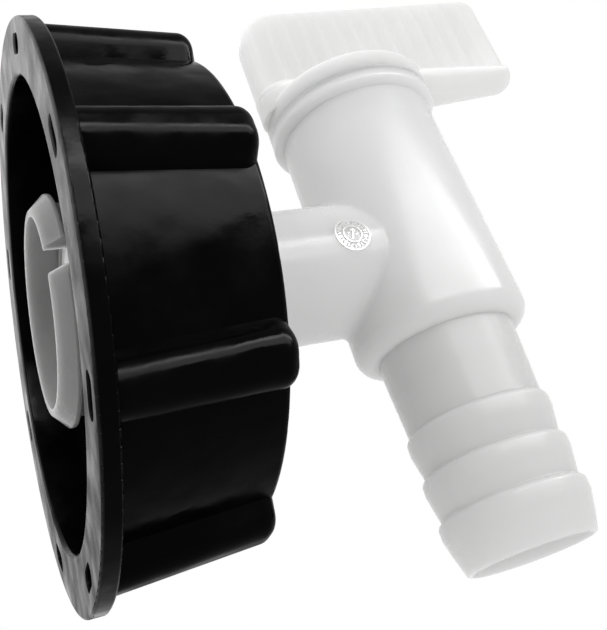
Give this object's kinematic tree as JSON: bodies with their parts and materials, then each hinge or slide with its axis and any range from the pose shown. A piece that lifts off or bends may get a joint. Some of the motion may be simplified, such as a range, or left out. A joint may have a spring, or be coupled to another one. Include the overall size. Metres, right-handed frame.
{
  "type": "jerrycan tap cap",
  "caption": "Jerrycan screw cap with hollow grip ribs and a plastic tap in its middle: a swivelling body, a barbed hose tail and a quarter-turn key with a fluted handle.",
  "frame": {"origin": "centre of the cap's open mouth, in the plane of the flange", "axes": "+Z along the cap's axis from the mouth towards the barrel, +X along the barrel's axis towards the hose tail"},
  "size_m": [0.0976, 0.076, 0.09],
  "materials": {
    "black_plastic": "satin",
    "natural_plastic": "glossy",
    "seal_rubber": "matte"
  },
  "bodies": {
    "cap": {"screw_cap": "black_plastic", "neck_gasket": "seal_rubber"},
    "tap": {"tap_body": "natural_plastic", "hub_seal": "seal_rubber", "retaining_collar": "natural_plastic"},
    "key": {"tap_key": "natural_plastic", "key_seal_upper": "seal_rubber", "key_seal_lower": "seal_rubber"}
  },
  "joints": [
    {"name": "cap_swivel", "type": "hinge", "parent": "cap", "child": "tap", "pos_m": [0, 0, 0.0224], "axis": [0, 0, 1], "continuous": true},
    {"name": "key_turn", "type": "hinge", "parent": "tap", "child": "key", "pos_m": [0, 0, 0.056], "axis": [1, 0, 0], "range_deg": [-4, 86]}
  ]
}
